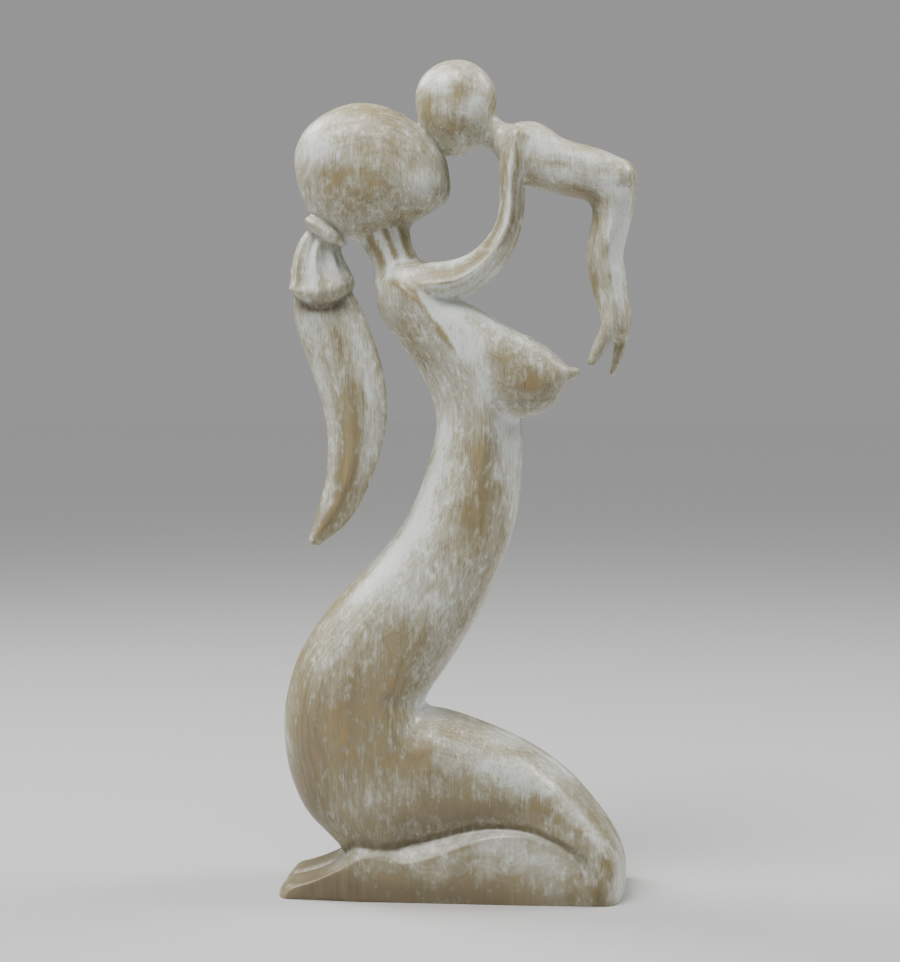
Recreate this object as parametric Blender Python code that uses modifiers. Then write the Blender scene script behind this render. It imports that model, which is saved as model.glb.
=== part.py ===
"""Mother and child: a kneeling mother lifts her child to her face, carved from one block.

Each limb is lofted through a few stations read in the side view, the limbs are fused into
one skin, the joins are softened as a carver's rasp would, and the underside is planed flat.
+X is the way the mother faces, +Y points away from the side that is seen first, and the
origin is the middle of the underside.
"""

import math

import bmesh
import bpy
import numpy as np
from mathutils import Matrix, Vector
from mathutils.bvhtree import BVHTree

# Driving sizes, in metres
HEIGHT = 0.500
THICKNESS = 0.080
JOIN_SOFTNESS = 0.006
SEAM_DEPTH = 0.003
SEAM_WIDTH = 0.014
FLUTE_DEPTH = 0.0012
FLUTES = 14

# Everything below is in five hundredths of the height, and depths in eightieths of the thickness
UNIT = HEIGHT / 500
DEPTH_UNIT = THICKNESS / 80

# Half depths of the heads, and how boxy they are
MOTHER_HEAD_DEPTH = 31
CHILD_HEAD_DEPTH = 21.5
HEAD_SQUARENESS = 2.2

# The bevel along the calves, the lean of their sides, and what is later planed off below them
CALF_BEVEL = 7
CALF_LEAN = 1.5
BELOW_GROUND = 6

# Where each seam fades in, as (nothing, full)
THIGH_SEAM_X = (-20, 15)
THIGH_SEAM_Z = (118, 104)
FOOT_SEAM_X = (-70, -80)
FOOT_SEAM_Z = (45, 35)

# Fineness of the solid
VOXEL = HEIGHT / 300
RING_SIDES = 40
RING_STEP = 3.0
DOME_ANGLES = (80, 60, 40, 20)
HEAD_RINGS = 24
HEAD_STEP = 1.0
SMOOTHING_PASSES = 2
JOIN_PASSES = 18
TRIANGLES = 9400

NAME = "mother_and_child"

# Stations: x, y, z, half width in the side view, half depth, squareness at the back and at the front
TORSO = (
    (-38, 0, 371, 17, 24, 2.6, 2.2),
    (-33, 0, 364, 21.3, 31, 2.8, 1.8),
    (-22.3, 0, 350, 23.2, 34, 3.0, 1.9),
    (-7.2, 0, 329, 23.3, 34, 3.0, 1.55),
    (4.5, 0, 306, 24, 32, 2.8, 1.7),
    (10, 0, 283, 25.5, 30, 2.6, 2.3),
    (8.2, 0, 256, 28.2, 30, 2.6, 2.5),
    (1.7, 0, 228, 30.8, 32, 2.6, 2.6),
    (-8.1, 0, 205.2, 32.7, 34, 2.6, 2.6),
    (-24.8, 0, 178.5, 36, 37, 2.6, 2.6),
    (-47.2, 0, 150, 39.2, 39, 2.6, 2.6),
    (-62.8, 0, 121.5, 41.6, 40, 2.6, 2.6),
    (-63, 0, 96, 45.5, 40, 2.6, 2.6),
    (-55.5, 0, 73, 46.5, 40, 2.6, 2.6),
    (-48, 0, 54, 41, 40, 2.6, 2.6),
    (-43, 0, 38, 33, 38, 2.4, 2.0),
)
THIGH = (
    (-58, 0, 64, 40, 39.7, 2.3, 2.7),
    (-24, 0, 65, 45.5, 39.7, 2.2, 2.7),
    (8.5, 0, 63.7, 37.7, 40, 2.0, 2.7),
    (32.5, 0, 59.2, 30, 40, 2.0, 2.8),
    (51.7, 0, 50.5, 24.7, 40, 2.0, 2.8),
    (66.5, 0, 41.2, 19.6, 39.5, 2.1, 2.8),
    (80, 0, 30, 14.4, 39, 2.4, 2.8),
    (86.6, 0, 16, 13.1, 38.5, 2.6, 2.8),
    (86.2, 0, -3, 10.8, 37.5, 2.8, 2.8),
)
NECK = (
    (-50, 0, 408, 17.5, 16, 2.2, 2.2),
    (-46.5, 0, 396, 16, 13.5, 2.2, 2.2),
    (-42.6, 0, 386, 13.6, 12.5, 2.2, 2.2),
    (-39.3, 0, 377, 14.2, 14, 2.2, 2.2),
    (-38, 0, 366, 15.5, 20, 2.2, 2.2),
)
BREAST = (
    (-24, 14, 348, 18, 18, 2.1, 2.1),
    (-10, 14, 337.5, 21.5, 19, 2.1, 2.1),
    (8, 14, 327, 21.5, 19, 2.1, 2.1),
    (23, 14.5, 317.5, 23.5, 18.5, 2.1, 2.1),
    (36, 15, 311.3, 24.8, 17.5, 2.1, 2.1),
    (47, 15, 311, 21.4, 15, 2.1, 2.1),
    (55.5, 15, 312, 15, 11.5, 2.0, 2.0),
    (61, 15, 312.8, 7.9, 7, 2.0, 2.0),
    (64.5, 15, 313.3, 4.2, 4.2, 2.0, 2.0),
    (68.5, 15, 313.8, 3, 3, 2.0, 2.0),
)
ARM = (
    (-32, 15, 366, 11, 13, 2.6, 2.6),
    (-18, 18, 368, 11, 13, 2.8, 2.8),
    (-3, 19, 369.5, 11, 12, 3.0, 3.0),
    (10.4, 18.5, 376.6, 9.2, 11, 3.2, 3.2),
    (20.3, 18, 386.5, 8, 9.5, 3.2, 3.2),
    (27.8, 17, 400.6, 6.9, 8.5, 3.2, 3.2),
    (30, 16.5, 414, 6.8, 8, 3.2, 3.2),
    (30.3, 16, 427, 7.2, 8, 3.0, 3.0),
    (31.5, 15, 440, 8.4, 8.5, 2.8, 2.8),
    (34.5, 14, 453, 8, 8, 2.4, 2.4),
)
CHILD_NECK = (
    (4, 0, 464, 12, 12, 2.1, 2.1),
    (14, 0, 459, 9.7, 10, 2.1, 2.1),
    (21, 0, 454.8, 9.2, 10, 2.1, 2.1),
    (30, 0, 449, 12, 13, 2.2, 2.2),
)
CHILD_TORSO = (
    (28, 0, 447.5, 14, 16, 2.3, 2.3),
    (36, 0, 446, 18, 19, 2.3, 2.3),
    (49, 0, 439.7, 17.3, 20, 2.3, 2.3),
    (66, 0, 434.3, 15.8, 20, 2.3, 2.3),
    (80, 0, 431, 15.3, 19, 2.3, 2.3),
    (93, 0, 428, 13, 18, 2.3, 2.3),
)
CHILD_LEGS = (
    (88, 0, 431, 12.5, 17, 2.2, 2.2),
    (90.3, 0, 419, 14.4, 17, 2.1, 2.1),
    (89.9, 0, 407, 12, 16, 2.0, 2.0),
    (87, 0, 394, 11.2, 15.5, 1.9, 1.9),
    (85.3, 0, 382, 11.2, 15, 1.8, 1.8),
    (87.3, 0, 370, 11, 14, 1.8, 1.8),
    (90, 0, 357, 10, 13, 1.8, 1.8),
    (92.3, 0, 346, 9.7, 12.5, 1.8, 1.8),
    (92, 0, 337, 9.4, 12.5, 1.9, 1.9),
)
NEAR_FOOT = (
    (88.5, -6.5, 342, 6, 6, 2.2, 2.2),
    (84.5, -6.5, 333, 5.4, 5.5, 2.2, 2.2),
    (80.5, -6.5, 325, 4.7, 5, 2.3, 2.3),
    (77.8, -6.5, 320.5, 4, 4.5, 2.4, 2.4),
)
FAR_FOOT = (
    (96.5, 6.5, 344, 6, 6, 2.2, 2.2),
    (95, 6.5, 333, 4.6, 5.5, 2.2, 2.2),
    (92.8, 6.5, 322, 3, 5, 2.3, 2.3),
    (90.2, 6.5, 314, 2.4, 4.5, 2.4, 2.4),
)
BLADE = (
    (-84.8, 0, 362, 20, 9, 1.9, 1.9),
    (-80.3, 0, 345, 20.6, 8.5, 1.9, 1.9),
    (-73.9, 0, 328, 21.2, 8.5, 1.9, 1.9),
    (-68.1, 0, 310, 20.8, 8.5, 1.9, 1.9),
    (-64.7, 0, 292, 19.5, 8.5, 1.9, 1.9),
    (-64.6, 0, 275, 17.4, 8.2, 1.9, 1.9),
    (-66.9, 0, 260, 15.2, 7.8, 1.9, 1.9),
    (-70.2, 0, 247, 13.5, 7.4, 1.9, 1.9),
    (-75.6, 0, 233.2, 11.4, 6.6, 1.9, 1.9),
    (-82.9, 0, 221, 8, 5.4, 1.9, 1.9),
    (-89.2, 0, 212.5, 4.4, 3.8, 2.0, 2.0),
)
HAIR_TUFT = (
    (-84.5, 0, 400, 11, 11, 2.0, 2.0),
    (-87, 0, 388, 14.2, 13, 2.0, 2.0),
    (-87.5, 0, 377, 17.2, 15, 2.0, 2.0),
    (-86.3, 0, 367, 18.8, 16, 2.0, 2.0),
    (-86, 0, 361, 17.6, 15, 2.0, 2.0),
    (-86, 0, 356.5, 13, 11, 2.0, 2.0),
)
HAIR_BAND = (
    (-81.2, 0, 406, 12, 12, 2.2, 2.2),
    (-82.6, 0, 403.5, 13.6, 14.5, 2.4, 2.4),
    (-84.4, 0, 399, 13.4, 14.5, 2.4, 2.4),
    (-85, 0, 396.5, 11.5, 12, 2.2, 2.2),
)

# Feet and calves: x, height of the side edge, rise of the slope inside it, half depth
CALVES = (
    (-110, -4, 3, 18),
    (-108, -1.5, 5, 29),
    (-104.5, 1, 6, 35.5),
    (-99, 6, 1.8, 37),
    (-89, 10.2, 0, 37.5),
    (-77, 15.5, 0, 38.5),
    (-67, 20, 3, 39.5),
    (-57, 25, 6, 40),
    (-46, 25, 4, 40),
    (-36, 23, 4, 40),
    (-24, 24, 5, 40),
    (-4, 31, 5, 40),
    (15, 38.5, 3.5, 40),
    (30, 40.5, 3.5, 40),
    (42, 40, 4, 40),
    (55, 36, 3.5, 39.5),
    (68, 26, 5, 39.3),
    (76, 14.5, 5, 39.2),
    (82, 4, 4, 38.8),
    (87, -5, 2, 37.5),
)

# Outlines of the heads in the side view: x, z
MOTHER_HEAD = (
    (-60, 475), (-79.5, 470.3), (-92, 461.7), (-99.5, 450), (-101, 438), (-98.5, 425), (-92, 410),
    (-80, 399), (-65, 393.5), (-48, 396), (-32.5, 403.5), (-16.7, 411.7), (-9.2, 419.5), (-8, 430),
    (-10.5, 442.5), (-16.3, 451.5), (-25.3, 460.7), (-37, 468.8), (-48, 473.3),
)
CHILD_HEAD = (
    (-4.5, 500), (-15.5, 497), (-23, 491), (-27.5, 481), (-27.5, 470.5), (-25, 460), (-19, 451),
    (-12, 445), (-4, 442.5), (3, 444.5), (10, 449.5), (17, 459), (20.5, 470), (19.9, 482), (15.4, 491),
    (7, 497.7),
)


def spline(rows, step):
    """Natural cubic curve through the rows, read about every step of its length."""
    rows = np.array(rows, float)
    gaps = np.maximum(np.linalg.norm(np.diff(rows[:, :3], axis=0), axis=1), 1e-9)
    knots = np.concatenate([[0.0], np.cumsum(gaps)])
    slopes = np.diff(rows, axis=0) / gaps[:, None]
    system = np.eye(len(rows))
    right = np.zeros_like(rows)
    for i in range(1, len(rows) - 1):
        system[i, i - 1 : i + 2] = gaps[i - 1], 2 * (gaps[i - 1] + gaps[i]), gaps[i]
        right[i] = 6 * (slopes[i] - slopes[i - 1])
    bends = np.linalg.solve(system, right)
    places = np.linspace(0, knots[-1], max(2, round(knots[-1] / step)))
    spans = np.clip(np.searchsorted(knots, places, side="right") - 1, 0, len(gaps) - 1)
    gap = gaps[spans][:, None]
    after = (places - knots[spans])[:, None] / gap
    before = 1 - after
    bend = (before**3 - before) * bends[spans] + (after**3 - after) * bends[spans + 1]
    return before * rows[spans] + after * rows[spans + 1] + bend * gap**2 / 6


def section(half_width, half_depth, back, front, groove=0.0):
    """Offsets of one ring, across the limb and in depth, with its own squareness at back and front."""
    ring = []
    sides = 4 * RING_SIDES if groove else RING_SIDES
    for i in range(sides):
        turn = 2 * math.pi * i / sides
        across, deep = math.cos(turn), math.sin(turn)
        power = 2 / (front if across > 0 else back)
        cut = groove * abs(math.cos(FLUTES * turn / 2)) ** 6
        ring.append((
            math.copysign(abs(across) ** power, across) * (half_width - cut),
            math.copysign(abs(deep) ** power, deep) * (half_depth - cut),
        ))
    return ring


def skin(rings):
    """One closed body through the rings: a cap is drawn from ring to ring by extrusion."""
    bm = bmesh.new()
    bmesh.ops.create_circle(bm, cap_ends=True, radius=1, segments=len(rings[0]))
    bm.faces.ensure_lookup_table()
    cap = bm.faces[0]
    for vert, place in zip(cap.verts, rings[0]):
        vert.co = place
    for number, ring in enumerate(rings[1:]):
        made = bmesh.ops.extrude_face_region(bm, geom=[cap], use_keep_orig=number == 0)["geom"]
        cap = next(item for item in made if isinstance(item, bmesh.types.BMFace))
        for vert, place in zip(cap.verts, ring):
            vert.co = place
    bmesh.ops.recalc_face_normals(bm, faces=bm.faces)
    return bm


def to_metres(point):
    x, y, z = point
    return Vector((x * UNIT, y * DEPTH_UNIT, z * UNIT))


def limb(stations, start_dome=0.0, end_dome=0.0, mirror=False, groove=0.0):
    """A body swept down the stations, with a rounded end where a dome length is given."""
    rows = spline(stations, RING_STEP)
    if mirror:
        rows[:, 1] *= -1
    ahead = np.gradient(rows[:, :3], axis=0)
    ahead[:, 1] = 0
    ahead /= np.linalg.norm(ahead, axis=1)[:, None]
    turns = [math.radians(angle) for angle in DOME_ANGLES]
    plan = [(0, -start_dome * math.sin(a), math.cos(a)) for a in turns if start_dome]
    plan += [(i, 0.0, 1.0) for i in range(len(rows))]
    plan += [(len(rows) - 1, end_dome * math.sin(a), math.cos(a)) for a in turns[::-1] if end_dome]
    rings = []
    for i, shift, scale in plan:
        x, y, z, wide, deep, back, front = rows[i]
        forward = ahead[i]
        ring = section(wide * scale, deep * scale, back, front, groove)
        rings.append([
            to_metres((
                x + forward[0] * shift - forward[2] * across,
                y + depth,
                z + forward[2] * shift + forward[0] * across,
            ))
            for across, depth in ring
        ])
    return skin(rings)


def calves():
    """Both lower legs and feet: flat below, with a crisp edge along each side."""
    rings = []
    rows = spline([(x, 0, edge, rise, deep) for x, edge, rise, deep in CALVES], RING_STEP)
    for x, _, edge, rise, deep in rows:
        half = [
            (deep - CALF_LEAN, -BELOW_GROUND),
            (deep - CALF_LEAN / 2, min(0, edge)),
            (deep, edge / 2),
            (deep, edge),
            (deep - CALF_BEVEL, edge + rise),
            (deep / 2, edge + rise),
        ]
        around = half + [(-y, z) for y, z in reversed(half)]
        rings.append([to_metres((x, y, z)) for y, z in around])
    return skin(rings)


def egg(outline, half_depth):
    """A head: its outline in the side view, swelling to the half depth."""
    closed = [(x, 0, z) for x, z in outline]
    centre = np.array(closed).mean(axis=0)
    overlap = 3
    curve = spline(closed[-overlap:] + closed + closed[:overlap], HEAD_STEP) - centre
    angles = np.unwrap(np.arctan2(curve[:, 2], curve[:, 0]))
    radii = np.hypot(curve[:, 0], curve[:, 2])
    spare = (angles[-1] - angles[0] - 2 * math.pi) / 2
    power = 2 / HEAD_SQUARENESS
    rings = []
    for i in range(1, HEAD_RINGS):
        tilt = math.pi * (i / HEAD_RINGS - 0.5)
        scale = math.cos(tilt) ** power
        depth = math.copysign(abs(math.sin(tilt)) ** power, tilt) * half_depth
        ring = []
        for k in range(RING_SIDES):
            turn = angles[0] + spare + 2 * math.pi * k / RING_SIDES
            radius = np.interp(turn, angles, radii) * scale
            ring.append(to_metres((
                centre[0] + radius * math.cos(turn),
                depth,
                centre[2] + radius * math.sin(turn),
            )))
        rings.append(ring)
    return skin(rings)


def limbs():
    """Every limb as its own closed body, before they are fused."""
    bodies = [
        limb(TORSO, start_dome=5, end_dome=20),
        limb(THIGH, start_dome=10),
        calves(),
        limb(NECK),
        limb(CHILD_NECK),
        limb(CHILD_TORSO, start_dome=6, end_dome=12),
        limb(CHILD_LEGS, start_dome=8, end_dome=6),
        limb(NEAR_FOOT, end_dome=2),
        limb(FAR_FOOT, end_dome=2),
        limb(BLADE, end_dome=4),
        limb(HAIR_TUFT, end_dome=2, groove=FLUTE_DEPTH / UNIT),
        limb(HAIR_BAND),
        egg(MOTHER_HEAD, MOTHER_HEAD_DEPTH),
        egg(CHILD_HEAD, CHILD_HEAD_DEPTH),
    ]
    for side in (False, True):
        bodies.append(limb(ARM, start_dome=4, end_dome=6, mirror=side))
        bodies.append(limb(BREAST, end_dome=2, mirror=side))
    return bodies


def fuse(bodies):
    """One mesh object around all the bodies, their overlaps gone."""
    joined = bmesh.new()
    for body in bodies:
        piece = bpy.data.meshes.new("limb")
        body.to_mesh(piece)
        joined.from_mesh(piece)
        bpy.data.meshes.remove(piece)
    rough = bpy.data.meshes.new(NAME)
    joined.to_mesh(rough)
    joined.free()
    obj = bpy.data.objects.new(NAME, rough)
    bpy.context.scene.collection.objects.link(obj)
    wrap = obj.modifiers.new("fuse", "REMESH")
    wrap.mode = "VOXEL"
    wrap.voxel_size = VOXEL
    wrap.adaptivity = 0
    graph = bpy.context.evaluated_depsgraph_get()
    fused = bpy.data.meshes.new_from_object(obj.evaluated_get(graph))
    obj.modifiers.clear()
    obj.data = fused
    bpy.data.meshes.remove(rough)
    return obj


def soften_joins(obj, bodies):
    """Smooths the skin where it runs from one limb onto another, and leaves the rest crisp."""
    trees = [BVHTree.FromBMesh(body) for body in bodies]
    group = obj.vertex_groups.new(name="joins")
    for vert in obj.data.vertices:
        near = sorted(tree.find_nearest(vert.co)[3] for tree in trees)
        weight = 1 - near[1] / JOIN_SOFTNESS
        if weight > 0:
            group.add([vert.index], min(1.0, 2 * weight), "REPLACE")
    whole = obj.modifiers.new("whole", "SMOOTH")
    whole.factor = 0.5
    whole.iterations = SMOOTHING_PASSES
    joins = obj.modifiers.new("joins", "SMOOTH")
    joins.factor = 0.5
    joins.iterations = JOIN_PASSES
    joins.vertex_group = "joins"


def fade(value, start, end):
    """0 at the start, 1 at the end, smooth between."""
    share = min(1.0, max(0.0, (value - start) / (end - start)))
    return share * share * (3 - 2 * share)


def carve_seam(obj):
    """Presses in the soft line between the two thighs, over the knees, and between the two feet."""
    group = obj.vertex_groups.new(name="seam")
    for vert in obj.data.vertices:
        x, z = vert.co.x / UNIT, vert.co.z / UNIT
        thighs = fade(x, *THIGH_SEAM_X) * fade(z, *THIGH_SEAM_Z)
        feet = fade(x, *FOOT_SEAM_X) * fade(z, *FOOT_SEAM_Z)
        side = 1 - abs(vert.co.y) / (SEAM_WIDTH / 2)
        weight = max(thighs, feet) * max(0.0, side)
        if weight > 0:
            group.add([vert.index], weight, "REPLACE")
    press = obj.modifiers.new("seam", "DISPLACE")
    press.mid_level = 0
    press.strength = -SEAM_DEPTH
    press.vertex_group = "seam"


def thin_out(obj):
    """Fewer, larger faces where the surface is nearly flat."""
    fewer = obj.modifiers.new("fewer", "DECIMATE")
    fewer.ratio = TRIANGLES / sum(len(face.vertices) - 2 for face in obj.data.polygons)


def apply_modifiers(obj):
    graph = bpy.context.evaluated_depsgraph_get()
    mesh = bpy.data.meshes.new_from_object(obj.evaluated_get(graph))
    old = obj.data
    obj.modifiers.clear()
    obj.data = mesh
    bpy.data.meshes.remove(old)


def plane_underside(obj):
    """Cuts the figure off flat at the ground."""
    bm = bmesh.new()
    bm.from_mesh(obj.data)
    cut = bmesh.ops.bisect_plane(
        bm,
        geom=bm.verts[:] + bm.edges[:] + bm.faces[:],
        plane_co=(0, 0, 0),
        plane_no=(0, 0, -1),
        clear_outer=True,
        dist=1e-6,
    )
    rim = [item for item in cut["geom_cut"] if isinstance(item, bmesh.types.BMEdge)]
    bmesh.ops.edgeloop_fill(bm, edges=rim)
    bmesh.ops.triangulate(bm, faces=[face for face in bm.faces if len(face.verts) > 3])
    bmesh.ops.recalc_face_normals(bm, faces=bm.faces)
    bm.to_mesh(obj.data)
    bm.free()


def centre_on_origin(obj):
    """Moves the middle of the footprint's box to the origin."""
    spots = np.array([vert.co for vert in obj.data.vertices])
    middle = (spots.min(axis=0) + spots.max(axis=0)) / 2
    obj.data.transform(Matrix.Translation((-middle[0], -middle[1], 0)))


def wood():
    """Limewashed wood."""
    material = bpy.data.materials.new("limewashed_wood")
    material.use_nodes = True
    shader = material.node_tree.nodes["Principled BSDF"]
    shader.inputs["Base Color"].default_value = (0.42, 0.38, 0.30, 1)
    shader.inputs["Roughness"].default_value = 0.5
    shader.inputs["Metallic"].default_value = 0
    return material


def main():
    for old in list(bpy.data.objects):
        bpy.data.objects.remove(old)
    bodies = limbs()
    figure = fuse(bodies)
    soften_joins(figure, bodies)
    carve_seam(figure)
    thin_out(figure)
    apply_modifiers(figure)
    plane_underside(figure)
    centre_on_origin(figure)
    figure.data.materials.append(wood())
    figure.data.shade_smooth()
    figure.data.set_sharp_from_angle(angle=math.radians(40))
    home = bpy.data.collections.new(NAME)
    bpy.context.scene.collection.children.link(home)
    bpy.context.scene.collection.objects.unlink(figure)
    home.objects.link(figure)


main()
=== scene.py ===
"""A kneeling mother lifting her child, carved from one piece of wood and limewashed.

The carving is lofted limb by limb at a finer scale than the frame's solid, fused into one
skin, and softened at the joins. The paint is rubbed back to the wood on the crowns, along
the ridges, and in the patches that hands have worn.
"""

import math

import bmesh
import bpy
import numpy as np
from bpy.props import FloatProperty, FloatVectorProperty, IntProperty, PointerProperty
from mathutils import Matrix, Vector, noise
from mathutils.bvhtree import BVHTree
from mathutils.kdtree import KDTree


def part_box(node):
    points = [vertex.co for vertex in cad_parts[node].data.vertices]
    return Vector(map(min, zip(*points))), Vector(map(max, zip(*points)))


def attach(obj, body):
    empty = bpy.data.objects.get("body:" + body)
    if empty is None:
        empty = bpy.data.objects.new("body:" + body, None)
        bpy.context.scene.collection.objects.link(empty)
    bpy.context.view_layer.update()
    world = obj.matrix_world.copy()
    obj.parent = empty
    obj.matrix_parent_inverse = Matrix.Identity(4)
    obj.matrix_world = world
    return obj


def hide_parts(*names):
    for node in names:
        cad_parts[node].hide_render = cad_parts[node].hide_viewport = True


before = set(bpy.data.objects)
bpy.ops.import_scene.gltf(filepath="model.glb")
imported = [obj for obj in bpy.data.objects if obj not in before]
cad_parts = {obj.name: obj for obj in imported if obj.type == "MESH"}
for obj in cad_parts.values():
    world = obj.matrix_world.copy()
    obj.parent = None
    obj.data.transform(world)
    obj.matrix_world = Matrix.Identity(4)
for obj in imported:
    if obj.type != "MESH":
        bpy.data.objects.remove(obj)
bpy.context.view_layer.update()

bl_info = {
    "name": "Limewashed mother and child",
    "version": (1, 0, 0),
    "blender": (4, 5, 0),
    "location": "3D View > Sidebar > Carving",
    "description": "Carves a kneeling mother and child in wood and limewashes it",
    "category": "Object",
}

NODE = "mother_and_child"
LOW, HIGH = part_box(NODE)

# The tables count in 1/500 of the height, and depths in 1/80 of the thickness
UNIT = (HIGH[2] - LOW[2]) / 500
DEPTH_UNIT = (HIGH[1] - LOW[1]) / 80

# Stations of each limb: x, y, z, half width in the side view, half depth, squareness at the back
# and at the front, then how sharp a crest runs along the side and where it lies across the limb
TORSO = (
    (-38, 0, 371, 17, 24, 2.6, 2.2, 0.2, -0.1),
    (-33, 0, 364, 21.3, 31, 2.8, 1.8, 0.45, 0),
    (-22.3, 0, 350, 23.2, 35, 3.0, 1.8, 0.6, 0.08),
    (-7.2, 0, 329, 23.3, 35, 2.9, 1.7, 0.65, 0.14),
    (4.5, 0, 306, 24, 33, 2.8, 1.8, 0.6, 0.25),
    (10, 0, 283, 25.5, 31, 2.6, 2.2, 0.4, 0.3),
    (8.2, 0, 256, 28.2, 30, 2.3, 2.3, 0.2, 0.2),
    (1.7, 0, 228, 30.8, 32, 2.2, 2.3, 0.1, 0),
    (-8.1, 0, 205.2, 32.7, 34, 2.15, 2.3, 0, 0),
    (-24.8, 0, 178.5, 36, 37, 2.1, 2.4, 0, 0),
    (-47.2, 0, 150, 39.2, 39, 2.1, 2.6, 0, 0),
    (-62.8, 0, 121.5, 41.6, 40, 2.15, 2.6, 0, 0),
    (-63, 0, 96, 45.5, 40, 2.2, 2.6, 0, 0),
    (-55.5, 0, 73, 46.5, 40, 2.3, 2.6, 0, 0),
    (-48, 0, 54, 41, 40, 2.6, 2.6, 0, 0),
    (-43, 0, 38, 33, 38, 2.4, 2.0, 0, 0),
)
THIGH = (
    (-58, 0, 64, 40, 39.7, 2.3, 2.7),
    (-24, 0, 65, 45.5, 39.7, 2.2, 2.7),
    (8.5, 0, 63.7, 37.7, 40, 2.0, 2.7),
    (32.5, 0, 59.2, 30, 40, 2.0, 2.7),
    (51.7, 0, 50.5, 24.7, 40, 2.0, 2.7),
    (66.5, 0, 41.2, 19.6, 39.5, 2.1, 2.7),
    (80, 0, 30, 14.4, 39, 2.4, 2.7),
    (86.6, 0, 16, 13.1, 38.5, 2.6, 2.7),
    (86.2, 0, -3, 10.8, 37.5, 2.8, 2.7),
)
NECK = (
    (-50, 0, 408, 17.5, 16, 2.2, 2.2),
    (-46.5, 0, 396, 16, 13.5, 2.2, 2.2),
    (-42.6, 0, 386, 13.6, 12.5, 2.2, 2.2),
    (-39.3, 0, 377, 14.2, 14, 2.2, 2.2),
    (-38, 0, 366, 15.5, 20, 2.2, 2.2),
)
BREAST = (
    (-24, 11, 348, 17, 17, 2.1, 2.1),
    (-10, 12, 339.5, 20.5, 18, 2.1, 2.1),
    (8, 13.5, 328, 21.5, 18.5, 2.1, 2.1),
    (23, 14, 317.5, 23.5, 19.5, 2.1, 2.1),
    (36, 15, 311.3, 24.8, 17.5, 2.1, 2.1),
    (47, 15, 311, 21.4, 15, 2.1, 2.1),
    (55.5, 15, 312, 15, 11.5, 2.0, 2.0),
    (61, 15, 312.8, 7.9, 7, 2.0, 2.0),
    (64.5, 15, 313.3, 4.2, 4.2, 2.0, 2.0),
    (68.5, 15, 313.8, 3, 3, 2.0, 2.0),
)
ARM = (
    (-32, 15, 366, 11, 13, 2.6, 2.6, 0.2, -0.5),
    (-18, 18, 368, 11, 13, 2.8, 2.8, 0.8, -0.45),
    (-3, 19, 369.5, 11, 12.5, 3.2, 3.2, 0.95, -0.4),
    (10.4, 18.5, 376.6, 9.2, 11.5, 3.4, 3.4, 0.95, -0.35),
    (20.3, 18, 386.5, 8, 10, 3.4, 3.4, 0.95, -0.25),
    (27.8, 17, 400.6, 6.9, 9, 3.4, 3.4, 0.95, -0.1),
    (30, 16.5, 414, 6.8, 8.5, 3.4, 3.4, 0.95, 0.0),
    (30.3, 16, 427, 7.2, 8.5, 3.2, 3.2, 0.85, 0.05),
    (31.5, 15, 440, 8.4, 9, 2.8, 2.8, 0.6, 0.05),
    (34.5, 14, 453, 8, 8, 2.4, 2.4, 0.2, 0),
)
CHILD_NECK = (
    (4, 0, 464, 12, 12, 2.1, 2.1),
    (14, 0, 459, 9.7, 10, 2.1, 2.1),
    (21, 0, 454.8, 9.2, 10, 2.1, 2.1),
    (30, 0, 449, 12, 13, 2.2, 2.2),
)
CHILD_TORSO = (
    (28, 0, 447.5, 14, 16, 2.3, 2.3),
    (36, 0, 446, 18, 19, 2.3, 2.3),
    (49, 0, 439.7, 17.3, 20, 2.3, 2.3),
    (66, 0, 434.3, 15.8, 20, 2.3, 2.3),
    (80, 0, 431, 15.3, 19, 2.3, 2.3),
    (93, 0, 428, 13, 18, 2.3, 2.3),
)
CHILD_LEGS = (
    (88, 0, 431, 12.5, 17, 2.2, 2.2, 0, 0),
    (90.3, 0, 419, 14.4, 17, 2.1, 2.1, 0, 0),
    (89.9, 0, 407, 12, 16, 2.0, 2.0, 0.2, 0),
    (87, 0, 394, 11.2, 15.5, 1.9, 1.9, 0.5, 0.1),
    (85.3, 0, 382, 11.2, 15, 1.8, 1.8, 0.7, 0.1),
    (87.3, 0, 370, 11, 14, 1.8, 1.8, 0.85, 0.1),
    (90, 0, 357, 10, 13, 1.8, 1.8, 0.85, 0.1),
    (92.3, 0, 346, 9.5, 12.5, 1.8, 1.8, 0.7, 0),
    (92.4, 0, 339, 8.4, 11, 1.9, 1.9, 0.2, 0),
)
NEAR_FOOT = (
    (91.5, -5.5, 350, 4.6, 5, 2.2, 2.2),
    (88.6, -6.3, 342, 5.2, 5.8, 2.2, 2.2),
    (84.8, -6.5, 333.5, 4.7, 5.5, 2.2, 2.2),
    (80.8, -6.5, 325.5, 3.8, 4.8, 2.3, 2.3),
    (77.6, -6.5, 319.5, 2.7, 3.6, 2.4, 2.4),
)
FAR_FOOT = (
    (95.5, 6, 350, 4.6, 5, 2.2, 2.2),
    (95.9, 6.4, 343, 5.4, 5.8, 2.2, 2.2),
    (95, 6.5, 333, 4.3, 5.5, 2.2, 2.2),
    (92.8, 6.5, 322, 2.9, 4.8, 2.3, 2.3),
    (90.2, 6.5, 313.5, 2, 3.6, 2.4, 2.4),
)
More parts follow.
